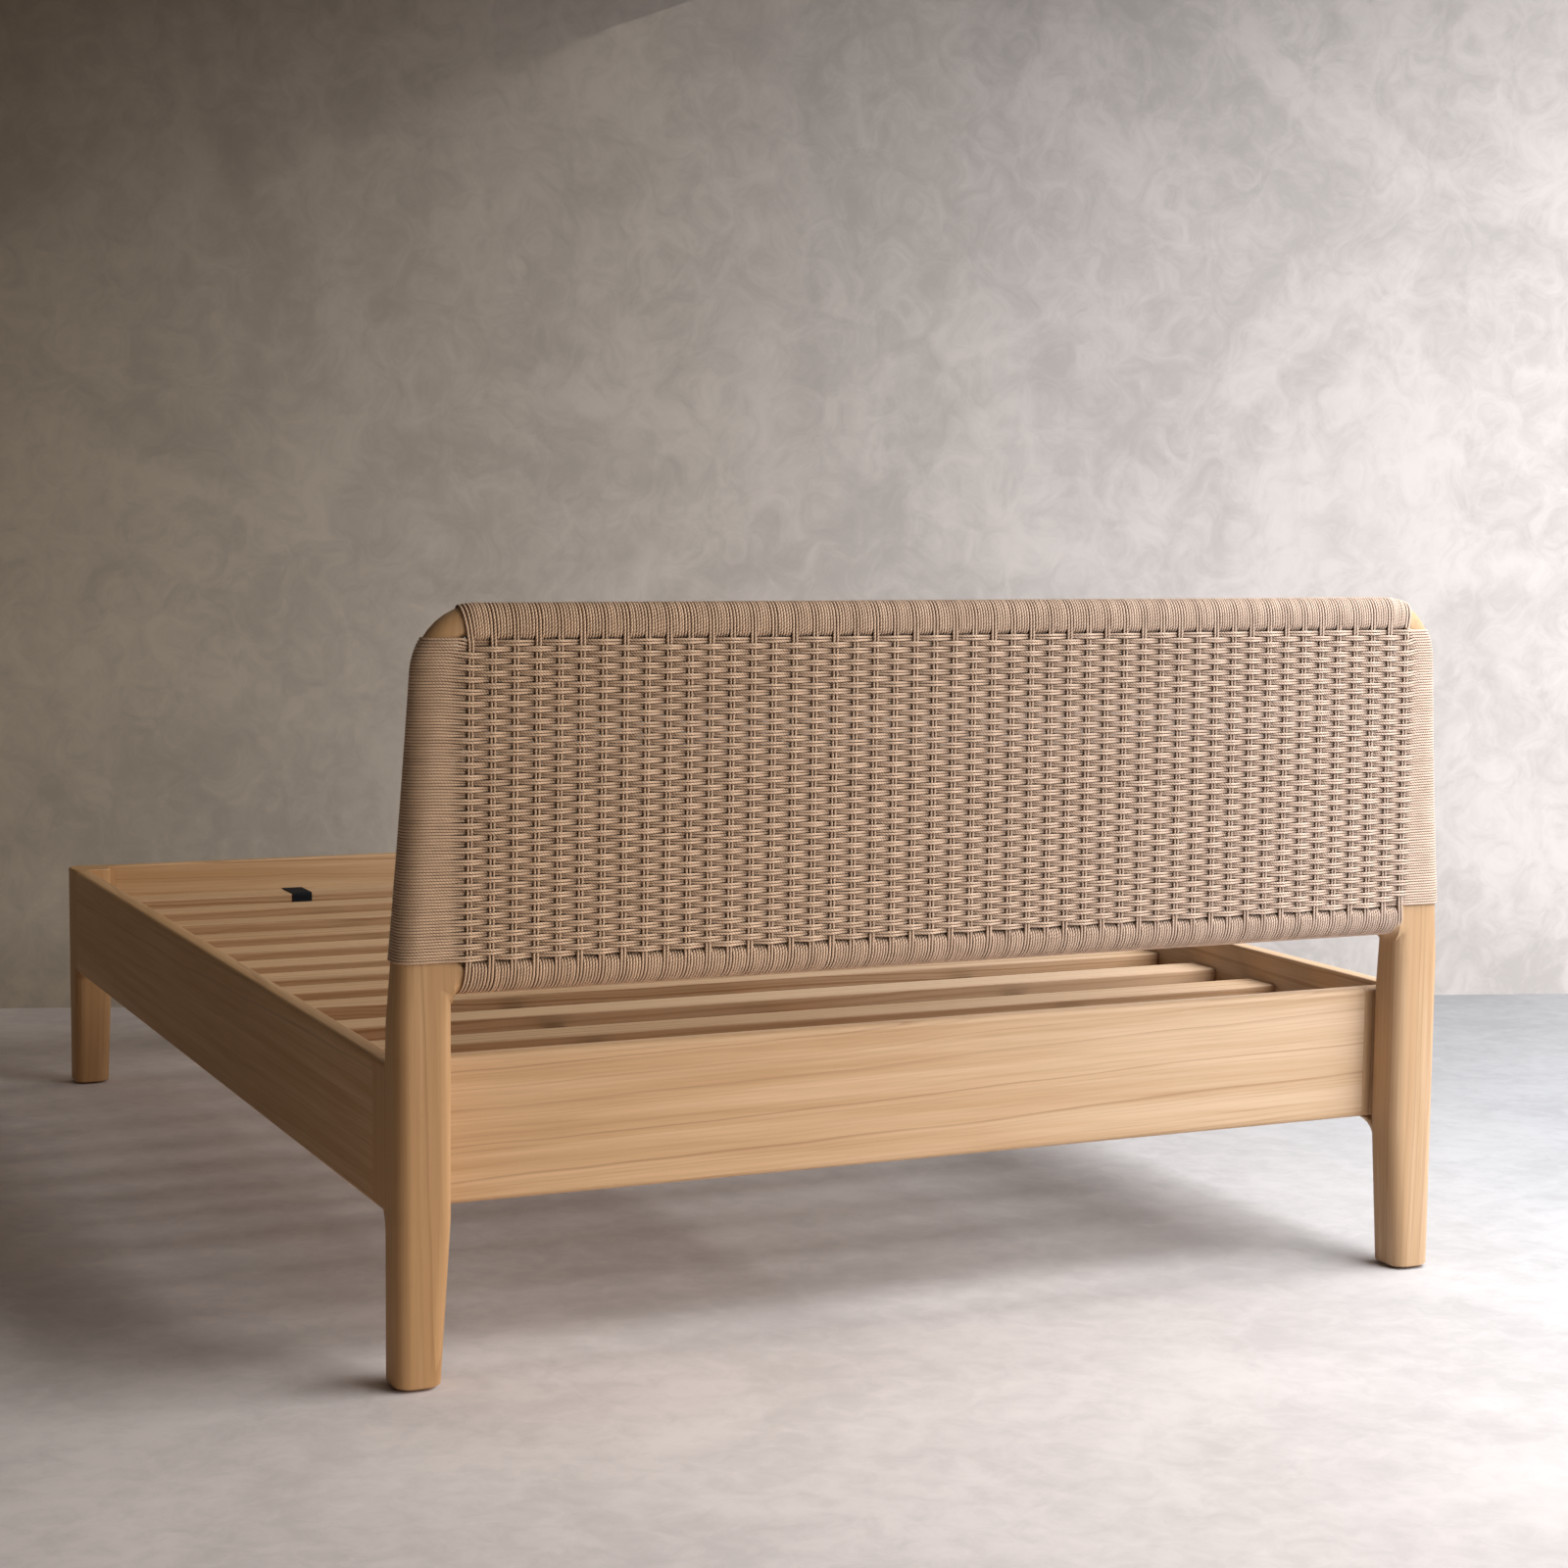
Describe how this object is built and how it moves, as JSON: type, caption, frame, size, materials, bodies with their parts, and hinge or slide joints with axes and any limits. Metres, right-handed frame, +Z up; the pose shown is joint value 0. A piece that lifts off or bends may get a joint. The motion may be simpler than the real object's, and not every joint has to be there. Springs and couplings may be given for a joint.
{
  "type": "platform bed with woven headboard",
  "caption": "Low wooden platform bed on tapered legs, with open slats between plain rails and a headboard of paired cords woven round a rounded wooden frame.",
  "frame": {"origin": "on the floor, under the middle of the bed's bounding box", "axes": "+X across the bed to the right as seen from behind the headboard, +Y from the headboard to the foot, +Z up"},
  "size_m": [1.6, 2.1578, 1.0022],
  "materials": {
    "wood": "oiled, satin",
    "slat_wood": "sawn and sanded, matt",
    "cord": "twisted paper cord, matt",
    "webbing": "woven tape, matt",
    "steel": "black powder coat",
    "felt": "felt"
  },
  "bodies": {
    "root": {"back_rail": "wood", "beam_hanger_foot": "steel", "beam_hanger_head": "steel", "bottom_rail_cord_wrap": "cord", "centre_beam": "slat_wood", "centre_leg": "slat_wood", "centre_leg_stud": "steel", "corner_bolt_foot_left": "steel", "corner_bolt_foot_right": "steel", "corner_bolt_head_left": "steel", "corner_bolt_head_right": "steel", "corner_bracket_foot_left": "steel", "corner_bracket_foot_right": "steel", "corner_bracket_head_left": "steel", "corner_bracket_head_right": "steel", "foot_leg_left": "wood", "foot_leg_right": "wood", "foot_rail": "wood", "glide_centre": "felt", "glide_foot_left": "felt", "glide_foot_right": "felt", "glide_head_left": "felt", "glide_head_right": "felt", "headboard_bottom_rail": "wood", "headboard_post_left": "wood", "headboard_post_right": "wood", "headboard_top_rail": "wood", "post_cord_wrap_left": "cord", "post_cord_wrap_right": "cord", "side_rail_bolt_foot_left": "steel", "side_rail_bolt_foot_right": "steel", "side_rail_bolt_head_left": "steel", "side_rail_bolt_head_right": "steel", "side_rail_left": "wood", "side_rail_right": "wood", "slat_01": "slat_wood", "slat_02": "slat_wood", "slat_03": "slat_wood", "slat_04": "slat_wood", "slat_05": "slat_wood", "slat_06": "slat_wood", "slat_07": "slat_wood", "slat_08": "slat_wood", "slat_09": "slat_wood", "slat_10": "slat_wood", "slat_11": "slat_wood", "slat_12": "slat_wood", "slat_ledger_left": "slat_wood", "slat_ledger_right": "slat_wood", "slat_strap_left": "webbing", "slat_strap_right": "webbing", "top_rail_cord_wrap": "cord", "woven_sheet_back": "cord", "woven_sheet_front": "cord"}
  },
  "joints": []
}
